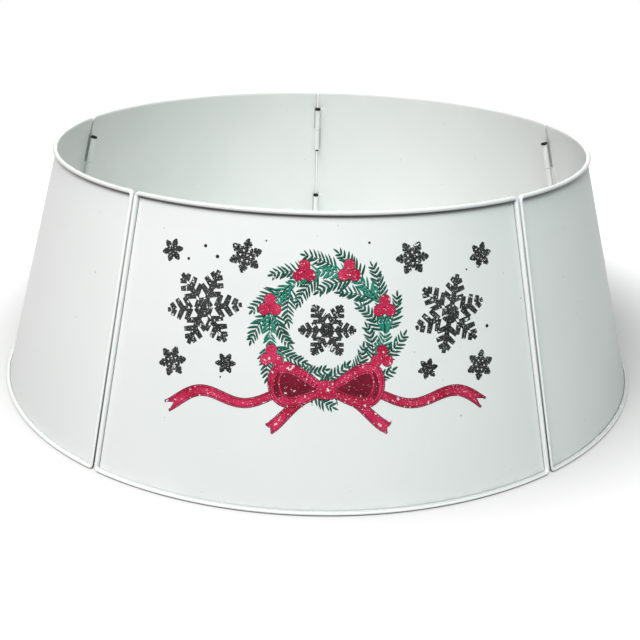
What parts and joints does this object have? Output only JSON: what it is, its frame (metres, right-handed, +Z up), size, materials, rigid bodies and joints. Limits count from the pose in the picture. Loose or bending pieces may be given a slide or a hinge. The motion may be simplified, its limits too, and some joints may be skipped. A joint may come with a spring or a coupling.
{
  "type": "christmas tree collar",
  "caption": "White metal collar that hides a christmas tree's stand: a cone-shaped ring of curved wire-edged panels, hinged inside by knuckles with lift-out pins, so it opens at the back.",
  "frame": {"origin": "centre of the ring, on the surface that it stands on", "axes": "+Z up along the cone's axis, -Y towards the front panel, +X to the right as seen from the front"},
  "size_m": [0.66, 0.66, 0.228],
  "materials": {
    "white_painted_sheet": "satin white enamel on thin sheet steel",
    "white_painted_hinge": "satin white enamel on rolled steel strip",
    "edge_wire_steel": "drawn steel wire",
    "black_pin_steel": "blackened steel"
  },
  "bodies": {
    "front_side": {"front_panel": "white_painted_sheet", "front_edge_wire": "edge_wire_steel", "front_right_upper_hinge_top_knuckle": "white_painted_hinge", "front_right_lower_hinge_top_knuckle": "white_painted_hinge", "front_left_upper_hinge_top_knuckle": "white_painted_hinge", "front_left_lower_hinge_top_knuckle": "white_painted_hinge"},
    "right_front_side": {"right_front_panel": "white_painted_sheet", "right_front_edge_wire": "edge_wire_steel", "front_right_upper_hinge_bottom_knuckle": "white_painted_hinge", "front_right_lower_hinge_bottom_knuckle": "white_painted_hinge", "back_right_upper_hinge_bottom_knuckle": "white_painted_hinge", "back_right_lower_hinge_bottom_knuckle": "white_painted_hinge"},
    "right_back_side": {"right_back_panel": "white_painted_sheet", "right_back_edge_wire": "edge_wire_steel", "back_right_upper_hinge_top_knuckle": "white_painted_hinge", "back_right_lower_hinge_top_knuckle": "white_painted_hinge", "back_centre_upper_hinge_top_knuckle": "white_painted_hinge", "back_centre_lower_hinge_top_knuckle": "white_painted_hinge"},
    "left_back_side": {"left_back_panel": "white_painted_sheet", "left_back_edge_wire": "edge_wire_steel", "back_centre_upper_hinge_bottom_knuckle": "white_painted_hinge", "back_centre_lower_hinge_bottom_knuckle": "white_painted_hinge", "back_left_upper_hinge_top_knuckle": "white_painted_hinge", "back_left_lower_hinge_top_knuckle": "white_painted_hinge"},
    "left_front_side": {"left_front_panel": "white_painted_sheet", "left_front_edge_wire": "edge_wire_steel", "back_left_upper_hinge_bottom_knuckle": "white_painted_hinge", "back_left_lower_hinge_bottom_knuckle": "white_painted_hinge", "front_left_upper_hinge_bottom_knuckle": "white_painted_hinge", "front_left_lower_hinge_bottom_knuckle": "white_painted_hinge"},
    "front_right_upper_hinge_pin": {"front_right_upper_hinge_pin": "black_pin_steel"},
    "front_right_lower_hinge_pin": {"front_right_lower_hinge_pin": "black_pin_steel"},
    "back_right_upper_hinge_pin": {"back_right_upper_hinge_pin": "black_pin_steel"},
    "back_right_lower_hinge_pin": {"back_right_lower_hinge_pin": "black_pin_steel"},
    "back_centre_upper_hinge_pin": {"back_centre_upper_hinge_pin": "black_pin_steel"},
    "back_centre_lower_hinge_pin": {"back_centre_lower_hinge_pin": "black_pin_steel"},
    "back_left_upper_hinge_pin": {"back_left_upper_hinge_pin": "black_pin_steel"},
    "back_left_lower_hinge_pin": {"back_left_lower_hinge_pin": "black_pin_steel"},
    "front_left_upper_hinge_pin": {"front_left_upper_hinge_pin": "black_pin_steel"},
    "front_left_lower_hinge_pin": {"front_left_lower_hinge_pin": "black_pin_steel"}
  },
  "joints": [
    {"name": "right_front_panel_swing", "type": "hinge", "parent": "front_side", "child": "right_front_side", "pos_m": [0.18924, -0.26047, 0.00001], "axis": [0.1671, -0.2301, -0.9587], "range_deg": [0, 8]},
    {"name": "right_back_panel_swing", "type": "hinge", "parent": "right_front_side", "child": "right_back_side", "pos_m": [0.3062, 0.09949, 0.00001], "axis": [0.2704, 0.0879, -0.9587], "range_deg": [0, 8]},
    {"name": "left_front_panel_swing", "type": "hinge", "parent": "front_side", "child": "left_front_side", "pos_m": [-0.18924, -0.26047, 0.00001], "axis": [0.1671, 0.2301, 0.9587], "range_deg": [0, 8]},
    {"name": "left_back_panel_swing", "type": "hinge", "parent": "left_front_side", "child": "left_back_side", "pos_m": [-0.3062, 0.09949, 0.00001], "axis": [0.2704, -0.0879, 0.9587], "range_deg": [0, 8]},
    {"name": "front_right_upper_hinge_pin_lift", "type": "slide", "parent": "front_side", "child": "front_right_upper_hinge_pin", "axis": [-0.1671, 0.2301, 0.9587], "range_m": [0, 0.06]},
    {"name": "front_right_lower_hinge_pin_lift", "type": "slide", "parent": "front_side", "child": "front_right_lower_hinge_pin", "axis": [-0.1671, 0.2301, 0.9587], "range_m": [0, 0.06]},
    {"name": "back_right_upper_hinge_pin_lift", "type": "slide", "parent": "right_back_side", "child": "back_right_upper_hinge_pin", "axis": [-0.2704, -0.0879, 0.9587], "range_m": [0, 0.06]},
    {"name": "back_right_lower_hinge_pin_lift", "type": "slide", "parent": "right_back_side", "child": "back_right_lower_hinge_pin", "axis": [-0.2704, -0.0879, 0.9587], "range_m": [0, 0.06]},
    {"name": "back_centre_upper_hinge_pin_lift", "type": "slide", "parent": "right_back_side", "child": "back_centre_upper_hinge_pin", "axis": [0, -0.2844, 0.9587], "range_m": [0, 0.03]},
    {"name": "back_centre_lower_hinge_pin_lift", "type": "slide", "parent": "right_back_side", "child": "back_centre_lower_hinge_pin", "axis": [0, -0.2844, 0.9587], "range_m": [0, 0.03]},
    {"name": "back_left_upper_hinge_pin_lift", "type": "slide", "parent": "left_back_side", "child": "back_left_upper_hinge_pin", "axis": [0.2704, -0.0879, 0.9587], "range_m": [0, 0.06]},
    {"name": "back_left_lower_hinge_pin_lift", "type": "slide", "parent": "left_back_side", "child": "back_left_lower_hinge_pin", "axis": [0.2704, -0.0879, 0.9587], "range_m": [0, 0.06]},
    {"name": "front_left_upper_hinge_pin_lift", "type": "slide", "parent": "front_side", "child": "front_left_upper_hinge_pin", "axis": [0.1671, 0.2301, 0.9587], "range_m": [0, 0.06]},
    {"name": "front_left_lower_hinge_pin_lift", "type": "slide", "parent": "front_side", "child": "front_left_lower_hinge_pin", "axis": [0.1671, 0.2301, 0.9587], "range_m": [0, 0.06]}
  ]
}
